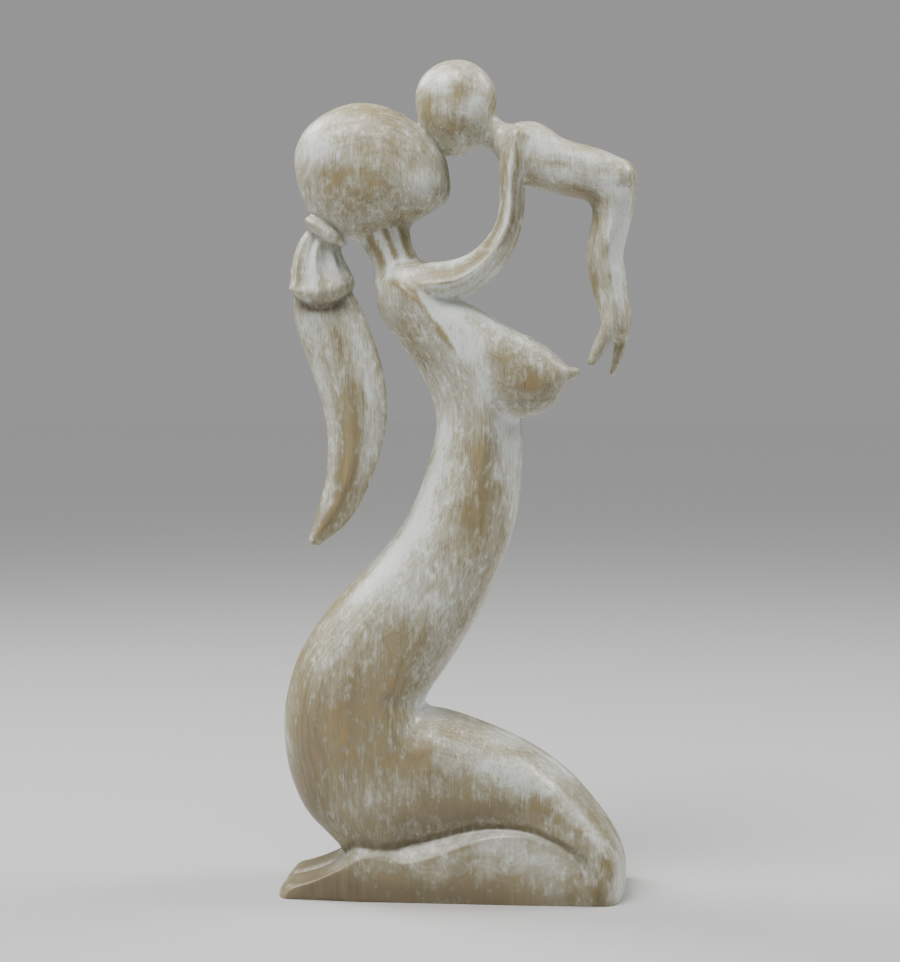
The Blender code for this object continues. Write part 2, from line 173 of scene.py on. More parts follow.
BLADE = (
    (-85.8, 0, 368, 14, 6, 1.9, 1.9, 0.2, 0),
    (-84.3, 0, 358, 18.4, 8.5, 1.9, 1.9, 0.2, 0),
    (-80.3, 0, 345, 20.6, 9, 1.9, 1.9, 0.3, 0),
    (-73.9, 0, 328, 21.2, 9, 1.9, 1.9, 0.4, 0),
    (-68.1, 0, 310, 20.8, 9, 1.9, 1.9, 0.5, 0),
    (-64.7, 0, 292, 19.5, 9, 1.9, 1.9, 0.6, 0),
    (-64.6, 0, 275, 17.4, 8.7, 1.9, 1.9, 0.7, 0),
    (-66.9, 0, 260, 15.2, 8.3, 1.9, 1.9, 0.75, 0),
    (-70.2, 0, 247, 13.5, 7.8, 1.9, 1.9, 0.8, 0),
    (-75.6, 0, 233.2, 11.4, 7, 1.9, 1.9, 0.8, 0),
    (-82.9, 0, 221, 8, 5.8, 1.9, 1.9, 0.7, 0),
    (-89.2, 0, 212.5, 4.4, 3.8, 2.0, 2.0, 0.4, 0),
)
HAIR_TUFT = (
    (-82, 0, 399, 10, 12, 2.0, 2.0),
    (-86, 0, 388, 14, 14, 2.0, 2.0),
    (-86.6, 0, 377, 17.4, 16, 2.0, 2.0),
    (-85.2, 0, 368, 20, 17.6, 2.0, 2.0),
    (-84.9, 0, 365.4, 20.4, 17.8, 2.0, 2.0),
    (-84.8, 0, 363.8, 19.4, 16, 2.0, 2.0),
    (-84.8, 0, 359, 15, 7.5, 2.0, 2.0),
)
HAIR_BAND = (
    (-79.7, 0, 402.6, 10, 13, 2.2, 2.2),
    (-80.4, 0, 401.5, 11.8, 16, 2.8, 2.8),
    (-84, 0, 396, 11.9, 16.4, 2.8, 2.8),
    (-84.8, 0, 394.8, 10, 13, 2.2, 2.2),
)

# Feet and calves: x, height of the side edge, rise of the slope inside it, half depth
CALVES = (
    (-110, -4, 3, 18),
    (-108, -1.5, 5, 29),
    (-104.5, 1, 6, 35.5),
    (-99, 6, 2.5, 37),
    (-89, 10.2, 1, 37.5),
    (-77, 15.5, 1, 38.5),
    (-67, 20, 5, 39.5),
    (-57, 25, 9, 40),
    (-46, 25, 9, 40),
    (-36, 23, 9, 40),
    (-24, 24, 9, 40),
    (-4, 31, 8, 40),
    (15, 38.5, 5.5, 40),
    (30, 40.5, 5, 40),
    (42, 40, 5.5, 40),
    (55, 36, 6, 39.5),
    (68, 26, 8, 39.3),
    (76, 14.5, 8, 39.2),
    (82, 4, 6, 38.8),
    (87, -5, 2, 37.5),
)

# Outlines of the heads in the side view: x, z
MOTHER_HEAD = (
    (-60, 475), (-79.5, 470.3), (-92, 461.7), (-99.5, 450), (-101, 438), (-98.5, 425), (-92, 410),
    (-80, 399), (-65, 393.5), (-48, 396), (-32.5, 402), (-16.7, 411), (-9.5, 416.3), (-7.4, 421.5),
    (-7.6, 431), (-10.2, 442.5), (-16.3, 451.5), (-25.3, 460.7), (-37, 468.8), (-48, 473.3),
)
CHILD_HEAD = (
    (-4.5, 500), (-15.5, 497), (-23, 491), (-27.5, 481), (-27.5, 470.5), (-25, 460), (-19, 451),
    (-12, 445), (-4, 442.5), (3, 444.5), (10, 449.5), (17, 459), (20.5, 470), (19.9, 482), (15.4, 491),
    (7, 497.7),
)
MOTHER_HEAD_DEPTH = 31
CHILD_HEAD_DEPTH = 21.5
HEAD_SQUARENESS = 2.2

CALF_BEVEL = 7
CALF_LEAN = 1.5
BELOW_GROUND = 6

# Where each seam fades in, as (nothing, full)
THIGH_SEAM_X = (-20, 15)
THIGH_SEAM_Z = (118, 104)
FOOT_SEAM_X = (-70, -80)
FOOT_SEAM_Z = (45, 35)

# Joins that the rasp has run together: the two limbs, and how far the blend reaches
BLENDS = [
    ("torso", "thigh", 24), ("neck", "torso", 14), ("near breast", "far breast", 8),
    ("neck", "mother head", 7), ("child neck", "child head", 7), ("child neck", "child torso", 10),
    ("child torso", "child legs", 12), ("near foot", "child legs", 7), ("far foot", "child legs", 6),
]
for side in ("near ", "far "):
    BLENDS += [
        ("torso", side + "breast", 12), ("torso", side + "arm", 14), ("neck", side + "arm", 9),
        (side + "arm", side + "breast", 9), (side + "arm", "child torso", 7),
        (side + "arm", "child neck", 6),
    ]

# Limbs that keep a crisp line against the others, and how far painted shade spreads from that line
CRISP = {"calves": 5, "band": 1.5, "tuft": 1.5, "blade": 1.5}

# Where the calf runs softly into the knee: x, z, radius across, radius up, how soft
KNEE_RUN = ((80, 12, 11, 17, 1.0),)

# Hollow at the waist that the rasp has left: x, z, radius across, radius up, how crisp
WAIST_NOTCH = ((-30, 110, 22, 10, 0.9),)

# Hollow cut into each side at the waist, from the front corner backwards: x, z
NOTCH_START = (-17, 117)
NOTCH_END = (-52, 117)

# How squarely the skin has to face sideways for the hollow: nothing, full
NOTCH_FACING = (0.1, 0.6)

# Patches where hands have rubbed the wash off, and some broad ones low on the body and at the back of
# the buttock that are painted shade: x, z, radius across, radius up, how bare
RUBBED_AND_SHADED_PATCHES = (
    (-57, 434, 26, 14, 0.6), (-78, 430, 15, 12, 0.5), (-56, 455, 22, 10, 0.55), (-22, 441, 8, 8, 0.3),
    (-36, 407, 15, 5, 0.4), (-62, 416, 18, 6, 0.5), (-1, 482, 7, 6, 1.0), (-20, 473, 5, 10, 0.7),
    (-5, 461, 8, 6, 0.9), (18, 474, 4, 10, 0.6), (56, 438, 12, 3, 0.4), (70, 448, 18, 3, 0.3),
    (103, 438, 5, 6, 0.4), (66, 417, 14, 4, 0.6), (104, 413, 3, 13, 0.4), (80, 401, 3, 10, 0.3),
    (86, 386, 3, 5, 0.8), (89, 369, 3, 5, 0.7), (79, 366, 3, 11, 0.6), (95, 330, 3, 9, 0.6),
    (-31, 365, 6, 4, 0.7), (38, 308, 14, 9, 0.9), (23, 323, 12, 6, 0.6), (-30, 332, 8, 15, 0.5),
    (9, 258, 8, 30, 0.7), (15, 236, 8, 24, 0.5), (4, 220, 12, 22, 0.6), (-78, 88, 14, 24, 0.8),
    (-32, 150, 18, 14, 0.6), (-62, 110, 20, 28, 0.5), (-20, 80, 22, 9, 0.7), (-4, 50, 34, 6, 0.6),
    (0, 76, 44, 16, 0.45), (-45, 125, 22, 30, 0.5), (60, 52, 10, 20, 0.4), (48, 55, 15, 6, 0.7),
    (73, 38, 7, 9, 0.7), (88, 11, 5, 9, 0.8), (-98, 62, 8, 26, 0.6), (-98, 112, 9, 30, 0.6),
    (-85, -2, 26, 14, 0.7), (-30, -2, 45, 12, 0.5), (30, -5, 40, 12, 0.5), (83, -2, 4, 7, 0.9),
    (-56, 470, 28, 8, 0.6), (-41, 367, 3, 3, 0.8), (-29, 369, 3, 3, 0.6), (-60, 70, 40, 60, 0.25),
    (20, 40, 60, 30, 0.2), (-72, 260, 6, 34, 0.7), (-76, 330, 9, 14, 0.4),
)

# Patches darkened towards dark wood, partly old stain and mostly painted shade: under the child's torso
# and the head, below the hair tuft, on the side of the foot, low on the body and along the bottom edge:
# x, z, radius across, radius up, how dark
STAIN_AND_SHADE_PATCHES = (
    (-40, 34, 36, 10, 0.35), (0, 46, 26, 8, 0.35), (30, 50, 20, 6, 0.3), (-92, 45, 12, 26, 0.5),
    (-85, -2, 26, 15, 0.9), (-40, -4, 40, 11, 0.6), (20, -7, 40, 11, 0.65), (66, -7, 14, 8, 0.5),
    (83, -3, 3, 7, 0.6), (-54, 399, 12, 2, 0.35), (-36, 403, 10, 2, 0.35), (-20, 409, 8, 2.5, 0.3),
    (-60, 90, 50, 60, 0.15), (10, 55, 70, 34, 0.18), (-70, 255, 14, 50, 0.12), (68, 416, 22, 6, 0.6),
    (-86, 354, 18, 4, 0.9), (20, 365, 14, 5, 0.4), (40, 296, 18, 7, 0.3), (-44, 403, 18, 5, 0.3),
    (72, 20, 5, 10, 0.3), (-84, 222, 10, 12, 0.3), (-95, 90, 8, 30, 0.25), (-20, 40, 110, 50, 0.22),
)

# Stripes along a limb: the limb, from and to along it, the middle and half width across it as
# shares of its own half width, and how bare the wood is there, or how thick the wash below nought
# The white stripe along the thigh's side, below its top bevel, is partly painted highlight
STRIPES = (
    ("arm", 8, 58, 0.3, 0.28, 0.9), ("arm", 55, 120, 0.6, 0.2, 0.9), ("arm", 62, 120, -0.45, 0.12, 0.7),
    ("arm", 10, 60, -0.42, 0.12, -0.9), ("arm", 60, 122, 0.05, 0.16, -0.9),
    ("arm", 12, 50, 0.85, 0.12, -0.7), ("arm", 20, 60, -0.8, 0.2, -0.6),
    ("torso", 10, 62, 0.12, 0.08, 1.2), ("torso", 8, 66, 0.45, 0.22, -1.1),
    ("torso", 16, 60, -0.5, 0.3, 0.3), ("torso", 60, 84, 0.42, 0.12, 0.6),
    ("torso", 60, 120, 0.75, 0.2, -0.5), ("torso", 95, 240, -0.75, 0.16, -0.7),
    ("torso", 110, 300, -0.95, 0.08, 0.5), ("torso", 130, 220, 0.85, 0.1, 0.4),
    ("blade", 60, 165, 0.0, 0.3, 0.8), ("blade", 10, 120, 0.6, 0.25, -0.5),
    ("blade", 40, 150, -0.75, 0.15, -0.5), ("child legs", 2, 80, 0.4, 0.4, -1.0),
    ("child legs", 20, 85, -0.7, 0.15, 0.4), ("child torso", 4, 60, 0.45, 0.25, -0.6),
    ("child torso", 10, 60, -0.8, 0.2, 0.6), ("breast", 20, 80, 0.85, 0.12, -0.6),
    ("breast", 0, 45, -0.1, 0.4, -0.5), ("thigh", 40, 150, 0.85, 0.12, 0.4),
    ("thigh", 40, 150, 0.55, 0.22, -1.2), ("thigh", 60, 130, -0.75, 0.2, 0.5),
    ("tuft", 8, 40, 0.15, 0.12, 0.9), ("tuft", 6, 40, -0.12, 0.14, -0.9),
    ("tuft", 6, 36, -0.65, 0.25, 0.4), ("tuft", 10, 36, 0.7, 0.2, -0.5),
    ("calves", 10, 180, 0.9, 0.25, -0.5), ("neck", 6, 44, 0.75, 0.13, 1.1),
    ("neck", 6, 44, 0.45, 0.12, -1.1), ("neck", 6, 36, 0.15, 0.1, 1.0),
    ("neck", 6, 44, -0.15, 0.13, -1.1), ("neck", 6, 50, -0.5, 0.15, 1.1),
)

# Patches where the wash is thickest, some of them painted highlight where both heads catch the lamps
# and painted light on the chest in the shade under the arm: x, z, radius across, radius up, how thick
WASH_AND_HIGHLIGHT_PATCHES = (
    (-84, 447, 11, 11, 1.0), (-25, 427, 9, 8, 1.0), (-57, 440, 8, 4, 0.5), (-13, 486, 7, 6, 0.8),
    (6, 473, 6, 9, 0.8), (1, 448, 7, 5, 0.4), (45, 447, 8, 5, 0.6), (87, 427, 7, 6, 0.6),
    (-12, 352, 12, 7, 1.0), (2, 330, 8, 12, 0.8), (12, 305, 6, 16, 0.8), (26, 285, 6, 12, 0.7),
    (-25, 228, 8, 24, 0.7), (-45, 195, 12, 18, 0.7), (-20, 112, 12, 8, 0.9), (30, 92, 20, 7, 0.8),
    (62, 72, 14, 10, 0.8), (36, 58, 14, 8, 0.5), (-40, 62, 8, 12, 0.4), (0, 128, 9, 18, 0.4),
    (-84, 380, 10, 14, 0.6), (-90, 345, 8, 12, 0.6), (26, 26, 18, 6, 0.4), (52, 16, 14, 6, 0.3),
    (60, 330, 16, 6, 0.3), (93, 398, 6, 15, 1.0), (60, 431, 14, 6, 0.7), (31, 250, 5, 30, 0.6),
    (94, 4, 4, 12, 0.8), (40, 16, 22, 6, 0.4), (-88, 384, 10, 12, 0.5), (-26, 176, 20, 5, 0.3),
    (44, 78, 18, 6, 0.5), (-8, 350, 10, 6, 1.0), (-36, 373, 4, 3, 0.8), (-45, 374, 4, 4, 0.8),
)


class CarvingSizes(bpy.types.PropertyGroup):
    """How finely and how softly the figure is carved."""

    fineness: FloatProperty(
        name="Fineness", description="Edge length of the carved skin before it is thinned",
        default=0.00085, min=0.0004, unit="LENGTH",
    )
    triangles: IntProperty(
        name="Triangles", description="Most triangles the finished skin keeps", default=190000,
    )
    join_softness: FloatProperty(
        name="Join softness", description="How far from a crisp join the knife has softened the wood",
        default=0.0022, unit="LENGTH",
    )
    stroke_length: FloatProperty(
        name="Stroke length", description="Length of a brush stroke", default=0.045, unit="LENGTH",
    )
    stroke_width: FloatProperty(
        name="Stroke width", description="Width of a brush stroke", default=0.003, unit="LENGTH",
    )
    seam_depth: FloatProperty(
        name="Seam depth", description="Depth of the line between the legs",
        default=0.003, unit="LENGTH",
    )
    seam_width: FloatProperty(
        name="Seam width", description="Width of the line between the legs",
        default=0.012, unit="LENGTH",
    )
    notch_depth: FloatProperty(
        name="Notch depth", description="Depth of the hollow at the waist",
        default=0.002, unit="LENGTH",
    )
    notch_width: FloatProperty(
        name="Notch width", description="Half width of the hollow at the waist",
        default=0.0045, unit="LENGTH",
    )
    flute_depth: FloatProperty(
        name="Flute depth", description="Depth of the flutes in the gathered hair",
        default=0.0036, unit="LENGTH",
    )
    flutes: IntProperty(
        name="Flutes", description="Number of flutes round the gathered hair", default=8,
    )
    unevenness: FloatProperty(
        name="Unevenness", description="How far the hand-cut surface strays from true",
        default=0.0003, unit="LENGTH",
    )


class CarvingColours(bpy.types.PropertyGroup):
    """Colours of the limewashed wood."""

    wash: FloatVectorProperty(
        name="Wash", description="Thick limewash", subtype="COLOR", size=4,
        default=(0.70, 0.74, 0.69, 1),
    )
    thin_wash: FloatVectorProperty(
        name="Thin wash", description="Wash that the wood shows through", subtype="COLOR", size=4,
        default=(0.46, 0.445, 0.345, 1),
    )
    bare_wood: FloatVectorProperty(
        name="Bare wood", description="Wood where the wash is rubbed away", subtype="COLOR", size=4,
        default=(0.285, 0.24, 0.13, 1),
    )
    # Dark wood of the grain and pores, also the colour of the painted shade in hollows, creases and
    # undersides
    dark_wood_and_shade: FloatVectorProperty(
        name="Dark wood", description="Old stain left in creases and grain", subtype="COLOR", size=4,
        default=(0.11, 0.088, 0.052, 1),
    )
    ochre: FloatVectorProperty(
        name="Ochre", description="Warm streaks in the barest wood", subtype="COLOR", size=4,
        default=(0.42, 0.27, 0.10, 1),
    )
    floor: FloatVectorProperty(
        name="Floor", description="Floor of the studio", subtype="COLOR", size=4,
        default=(0.5, 0.495, 0.49, 1),
    )


def spline(rows, step):
    """Natural cubic curve through the rows, read about every step of its length."""
    rows = np.array(rows, float)
    gaps = np.maximum(np.linalg.norm(np.diff(rows[:, :3], axis=0), axis=1), 1e-9)
    knots = np.concatenate([[0.0], np.cumsum(gaps)])
    slopes = np.diff(rows, axis=0) / gaps[:, None]
    system = np.eye(len(rows))
    right = np.zeros_like(rows)
    for i in range(1, len(rows) - 1):
        system[i, i - 1 : i + 2] = gaps[i - 1], 2 * (gaps[i - 1] + gaps[i]), gaps[i]
        right[i] = 6 * (slopes[i] - slopes[i - 1])
    bends = np.linalg.solve(system, right)
    places = np.linspace(0, knots[-1], max(2, round(knots[-1] / step)))
    spans = np.clip(np.searchsorted(knots, places, side="right") - 1, 0, len(gaps) - 1)
    gap = gaps[spans][:, None]
    after = (places - knots[spans])[:, None] / gap
    before = 1 - after
    bend = (before**3 - before) * bends[spans] + (after**3 - after) * bends[spans + 1]
    return before * rows[spans] + after * rows[spans + 1] + bend * gap**2 / 6


RING_STEP = 1.5
RING_SIDES = 96
DOME_ANGLES = (85, 70, 55, 40, 25, 10)

# Flutes along a limb: how far in they begin, how soon they run out, and how evenly deep they stay
FLUTE_START = 0.02
FLUTE_RUN = 1.12
FLUTE_FULLNESS = 0.7


def section(station, flutes, groove, flat):
    """Offsets of one ring, across the limb and in depth, with a crest along its side."""
    half_width, half_depth, back, front, sharp, place = station
    ring = []
    for i in range(RING_SIDES):
        turn = 2 * math.pi * i / RING_SIDES
        across, deep = math.cos(turn), math.sin(turn)
        power = 2 / (front if across > 0 else back)
        across = math.copysign(abs(across) ** power, across)
        deep = math.copysign(abs(deep) ** power, deep)
        slope = abs((across - place) / ((1 if across > place else -1) - place))
        crest = 1 - max(0.0, slope - flat) / (1 - flat)
        deep = deep * (1 - sharp) + math.copysign(min(abs(deep), crest), deep) * sharp
        cut = groove * abs(math.sin(flutes * turn / 2)) if flutes else 0
        ring.append((across * (half_width - cut), deep * (half_depth - cut)))
    return ring


def skin(rings):
    """One closed body through the rings: a cap is drawn from ring to ring by extrusion."""
    bm = bmesh.new()
    bmesh.ops.create_circle(bm, cap_ends=True, radius=1, segments=len(rings[0]))
    bm.faces.ensure_lookup_table()
    cap = bm.faces[0]
    for vert, place in zip(cap.verts, rings[0]):
        vert.co = place
    for number, ring in enumerate(rings[1:]):
        made = bmesh.ops.extrude_face_region(bm, geom=[cap], use_keep_orig=number == 0)["geom"]
        cap = next(item for item in made if isinstance(item, bmesh.types.BMFace))
        for vert, place in zip(cap.verts, ring):
            vert.co = place
    bmesh.ops.recalc_face_normals(bm, faces=bm.faces)
    return bm


def to_metres(point):
    x, y, z = point
    return Vector((x * UNIT, y * DEPTH_UNIT, z * UNIT))


def limb(
    stations, start_dome=0.0, end_dome=0.0, mirror=False, flutes=0, groove=0.0, flat=0.0, sag=0.0
):
    """A body swept down the stations, with a rounded end where a dome length is given.

    The crest along its side may be flat on top, and its far rim may sag at the sides.
    """
    if len(stations[0]) == 7:
        stations = [(*station, 0, 0) for station in stations]
    rows = spline(stations, RING_STEP)
    if mirror:
        rows[:, 1] *= -1
    ahead = np.gradient(rows[:, :3], axis=0)
    ahead[:, 1] = 0
    ahead /= np.linalg.norm(ahead, axis=1)[:, None]
    turns = [math.radians(angle) for angle in DOME_ANGLES]
    plan = [(0, -start_dome * math.sin(a), math.cos(a)) for a in turns if start_dome]
    plan += [(i, 0.0, 1.0) for i in range(len(rows))]
    plan += [(len(rows) - 1, end_dome * math.sin(a), math.cos(a)) for a in turns[::-1] if end_dome]
    rings = []
    for i, shift, scale in plan:
        x, y, z, wide, deep, back, front, sharp, place = rows[i]
        forward = ahead[i]
        share = i / len(rows)
        cut = groove * math.sin(math.pi * min(1, FLUTE_START + FLUTE_RUN * share)) ** FLUTE_FULLNESS
        drop = sag * share**2
        station = (wide * scale, deep * scale, back, front, min(1, max(0, sharp)), place)
        rings.append([
            to_metres((
                x + forward[0] * shift - forward[2] * across,
                y + depth,
                z + forward[2] * shift + forward[0] * across - drop * (depth / deep) ** 2,
            ))
            for across, depth in section(station, flutes, cut, flat)
        ])
    return skin(rings)


def calves():
    """Both lower legs and feet: flat below, with a crisp edge along each side."""
    rings = []
    rows = spline([(x, 0, edge, rise, deep) for x, edge, rise, deep in CALVES], RING_STEP)
    for x, _, edge, rise, deep in rows:
        half = [
            (deep - CALF_LEAN, -BELOW_GROUND),
            (deep - CALF_LEAN / 2, min(0, edge)),
            (deep, edge / 2),
            (deep, edge),
            (deep - CALF_BEVEL, edge + rise),
            (deep / 2, edge + rise),
        ]
        around = half + [(-y, z) for y, z in reversed(half)]
        rings.append([to_metres((x, y, z)) for y, z in around])
    return skin(rings)


EGG_LAYERS = 48
EGG_OVERLAP = 3


def egg(outline, half_depth):
    """A head: its outline in the side view, swelling to the half depth."""
    closed = [(x, 0, z) for x, z in outline]
    centre = np.array(closed).mean(axis=0)
    curve = spline(closed[-EGG_OVERLAP:] + closed + closed[:EGG_OVERLAP], 1.0) - centre
    angles = np.unwrap(np.arctan2(curve[:, 2], curve[:, 0]))
    radii = np.hypot(curve[:, 0], curve[:, 2])
    spare = (angles[-1] - angles[0] - 2 * math.pi) / 2
    power = 2 / HEAD_SQUARENESS
    rings = []
    for i in range(1, EGG_LAYERS):
        tilt = math.pi * (i / EGG_LAYERS - 0.5)
        scale = math.cos(tilt) ** power
        depth = math.copysign(abs(math.sin(tilt)) ** power, tilt) * half_depth
        ring = []
        for k in range(RING_SIDES):
            turn = angles[0] + spare + 2 * math.pi * k / RING_SIDES
            radius = np.interp(turn, angles, radii) * scale
            ring.append(to_metres((
                centre[0] + radius * math.cos(turn),
                depth,
                centre[2] + radius * math.sin(turn),
            )))
        rings.append(ring)
    return skin(rings)


def limbs(sizes):
    """Every limb as its own closed body, before they are fused."""
    bodies = {
        "torso": limb(TORSO, start_dome=5, end_dome=20),
        "thigh": limb(THIGH, start_dome=10),
        "calves": calves(),
        "neck": limb(NECK, flutes=9, groove=0.9),
        "child neck": limb(CHILD_NECK),
        "child torso": limb(CHILD_TORSO, start_dome=6, end_dome=12),
        "child legs": limb(CHILD_LEGS, start_dome=8, end_dome=6),
        "near foot": limb(NEAR_FOOT, end_dome=2),
        "far foot": limb(FAR_FOOT, end_dome=2),
        "blade": limb(BLADE, end_dome=4),
        "tuft": limb(
            HAIR_TUFT, end_dome=2, flutes=sizes.flutes, groove=sizes.flute_depth / UNIT, sag=8
        ),
        "band": limb(HAIR_BAND),
        "mother head": egg(MOTHER_HEAD, MOTHER_HEAD_DEPTH),
        "child head": egg(CHILD_HEAD, CHILD_HEAD_DEPTH),
    }
    for side in (False, True):
        end = "near" if side else "far"
        bodies[end + " arm"] = limb(ARM, start_dome=4, end_dome=6, mirror=side, flat=0.16)
        bodies[end + " breast"] = limb(BREAST, end_dome=2, mirror=side)
    return bodies


def apply_modifiers(obj):
    graph = bpy.context.evaluated_depsgraph_get()
    mesh = bpy.data.meshes.new_from_object(obj.evaluated_get(graph))
    old = obj.data
    obj.modifiers.clear()
    obj.data = mesh
    bpy.data.meshes.remove(old)


def fuse(bodies, sizes):
    """One mesh object around all the bodies, their overlaps gone."""
    joined = bmesh.new()
    for body in bodies.values():
        piece = bpy.data.meshes.new("limb")
        body.to_mesh(piece)
        joined.from_mesh(piece)
        bpy.data.meshes.remove(piece)
    rough = bpy.data.meshes.new("carving")
    joined.to_mesh(rough)
    joined.free()
    obj = bpy.data.objects.new("carving", rough)
    bpy.context.scene.collection.objects.link(obj)
    wrap = obj.modifiers.new("fuse", "REMESH")
    wrap.mode = "VOXEL"
    wrap.voxel_size = sizes.fineness
    wrap.adaptivity = 0
    apply_modifiers(obj)
    return obj


def points_of(mesh, kind="co"):
    """One row for each vertex: its place, or its normal."""
    flat = np.empty(len(mesh.vertices) * 3, np.float32)
    mesh.vertices.foreach_get(kind, flat)
    return flat.reshape(-1, 3).astype(float)


def normals_of(mesh):
    return points_of(mesh, "normal")


def gaps_to(bodies, points):
    """Distance from every point to each body it is within reach of, as one row for each body."""
    gaps = np.full((len(bodies), len(points)), 1.0)
    for row, (name, body) in enumerate(bodies.items()):
        reach = max([LEAST_REACH] + [width for *pair, width in BLENDS if name in pair]) * UNIT
        tree = BVHTree.FromBMesh(body)
        corners = np.array([vert.co for vert in body.verts])
        near = np.all(points > corners.min(axis=0) - reach, axis=1)
        near &= np.all(points < corners.max(axis=0) + reach, axis=1)
        for i in np.flatnonzero(near):
            found = tree.find_nearest(points[i], reach)
            if found[0] is not None:
                gaps[row, i] = found[3]
    return gaps


# How far every limb is looked for at the least, and how far a crisp line keeps the blends off
LEAST_REACH = 5
CRISP_REACH = 4

# Passes of smoothing: everywhere, at the joins, on the lower legs, to fill corners, on the blends
WHOLE_PASSES = 3
JOIN_PASSES = 12
LEG_PASSES = 12
CORNER_PASSES = 300
BLEND_PASSES = 10

# How much of its inward move a point keeps while the corners are filled
INWARD_SHARE = 0.2


def soften(obj, weights, passes, name):
    """Smooths the skin as much as the weights say."""
    group = obj.vertex_groups.new(name=name)
    for i in np.flatnonzero(weights > 0.01):
        group.add([int(i)], float(min(1.0, weights[i])), "REPLACE")
    smooth = obj.modifiers.new(name, "SMOOTH")
    smooth.factor = 0.5
    smooth.iterations = passes
    smooth.vertex_group = name


def blend_weights(names, gaps):
    """How strongly each point belongs to a join that is run together."""
    weights = np.zeros(gaps.shape[1])
    for first, second, width in BLENDS:
        apart = np.maximum(gaps[names.index(first)], gaps[names.index(second)])
        weights = np.maximum(weights, np.clip(2 * (1 - apart / (width * UNIT)), 0, 1))
    crisp = np.min([gaps[names.index(name)] for name in CRISP], axis=0)
    return weights * np.clip(crisp / (CRISP_REACH * UNIT) - 0.5, 0, 1)


def crease_shade(names, gaps):
    """Painted shade beside the crisp lines, on the wood that overhangs them."""
    nearest = np.argmin(gaps, axis=0)
    stain = np.zeros(gaps.shape[1])
    for name, spread in CRISP.items():
        row = names.index(name)
        near = np.exp(-((gaps[row] / (spread * UNIT)) ** 2))
        stain = np.maximum(stain, np.where(nearest == row, 0, near))
    return stain


def fill_corners(obj, weights, passes):
    """Fills the inner corners of the joins and leaves the crests beside them nearly as they are."""
    before, normals = points_of(obj.data), normals_of(obj.data)
    soften(obj, weights, passes, "corners")
    apply_modifiers(obj)
    moves = points_of(obj.data) - before
    outward = np.einsum("ij,ij->i", moves, normals)
    share = np.where(outward > 0, 1.0, INWARD_SHARE)
    move_points(obj, before + moves * share[:, None])


def fade(value, start, end):
    """0 at the start, 1 at the end, smooth between."""
    share = np.clip((value - start) / (end - start), 0, 1)
    return share * share * (3 - 2 * share)


def move_points(obj, points):
    obj.data.vertices.foreach_set("co", points.astype(np.float32).ravel())
    obj.data.update()


def push(obj, depth):
    """Moves each point out along its normal by its own depth."""
    move_points(obj, points_of(obj.data) + normals_of(obj.data) * depth[:, None])


def carve_seam(obj, sizes):
    """Presses in the soft line between the two thighs, over the knees, and between the two feet."""
    points = points_of(obj.data)
    x, z = points[:, 0] / UNIT, points[:, 2] / UNIT
    thighs = fade(x, *THIGH_SEAM_X) * fade(z, *THIGH_SEAM_Z)
    feet = fade(x, *FOOT_SEAM_X) * fade(z, *FOOT_SEAM_Z)
    side = np.clip(1 - np.abs(points[:, 1]) / (sizes.seam_width / 2), 0, 1)
    push(obj, -sizes.seam_depth * np.maximum(thighs, feet) * side)


def carve_notch(obj, sizes):
    """Cuts the short hollow that runs back into each side from the waist."""
    flat = points_of(obj.data)[:, [0, 2]] / UNIT
    start, end = np.array(NOTCH_START), np.array(NOTCH_END)
    ahead = end - start
    share = np.clip((flat - start) @ ahead / (ahead @ ahead), 0, 1)
    away = np.linalg.norm(flat - start - share[:, None] * ahead, axis=1) * UNIT
    depth = sizes.notch_depth * (1 - share) * np.exp(-((away / sizes.notch_width) ** 2))
    push(obj, -depth * fade(np.abs(normals_of(obj.data)[:, 1]), *NOTCH_FACING))


# Unevenness of the surface: facets and rasp marks to the metre, and the share of the facets
FACETS = 70
RASP_MARKS = Vector((260, 260, 120))
FACET_SHARE = 0.75

# Heights over the ground where the unevenness sets in
UNEVEN_FROM = (0.001, 0.004)


def roughen(obj, sizes):
    """Gives the surface the slight unevenness of a knife and rasp."""
    points = points_of(obj.data)
    broad = np.array([noise.noise(Vector(p) * FACETS) for p in points])
    fine = np.array([noise.noise(Vector(p) * RASP_MARKS) for p in points])
    amount = sizes.unevenness * (FACET_SHARE * broad + (1 - FACET_SHARE) * fine)
    push(obj, amount * fade(points[:, 2], *UNEVEN_FROM))


def thin_out(obj, triangles):
    """Fewer, larger faces where the surface is nearly flat."""
    fewer = obj.modifiers.new("fewer", "DECIMATE")
    fewer.ratio = min(1.0, triangles / sum(len(face.vertices) - 2 for face in obj.data.polygons))
    apply_modifiers(obj)


def plane_underside(obj):
    """Cuts the figure off flat at the ground, and sets it over the middle of its footprint."""
    bm = bmesh.new()
    bm.from_mesh(obj.data)
    cut = bmesh.ops.bisect_plane(
        bm,
        geom=bm.verts[:] + bm.edges[:] + bm.faces[:],
        plane_co=(0, 0, 0),
        plane_no=(0, 0, -1),
        clear_outer=True,
        dist=1e-6,
    )
    rim = [item for item in cut["geom_cut"] if isinstance(item, bmesh.types.BMEdge)]
    bmesh.ops.edgeloop_fill(bm, edges=rim)
    bmesh.ops.triangulate(bm, faces=[face for face in bm.faces if len(face.verts) > 3])
    spots = np.array([vert.co for vert in bm.verts])
    middle = (spots.min(axis=0) + spots.max(axis=0)) / 2
    target = (Vector(LOW) + Vector(HIGH)) / 2
    move = Vector((target.x - middle[0], target.y - middle[1], 0))
    bmesh.ops.translate(bm, vec=move, verts=bm.verts)
    bmesh.ops.recalc_face_normals(bm, faces=bm.faces)
    bm.to_mesh(obj.data)
    bm.free()


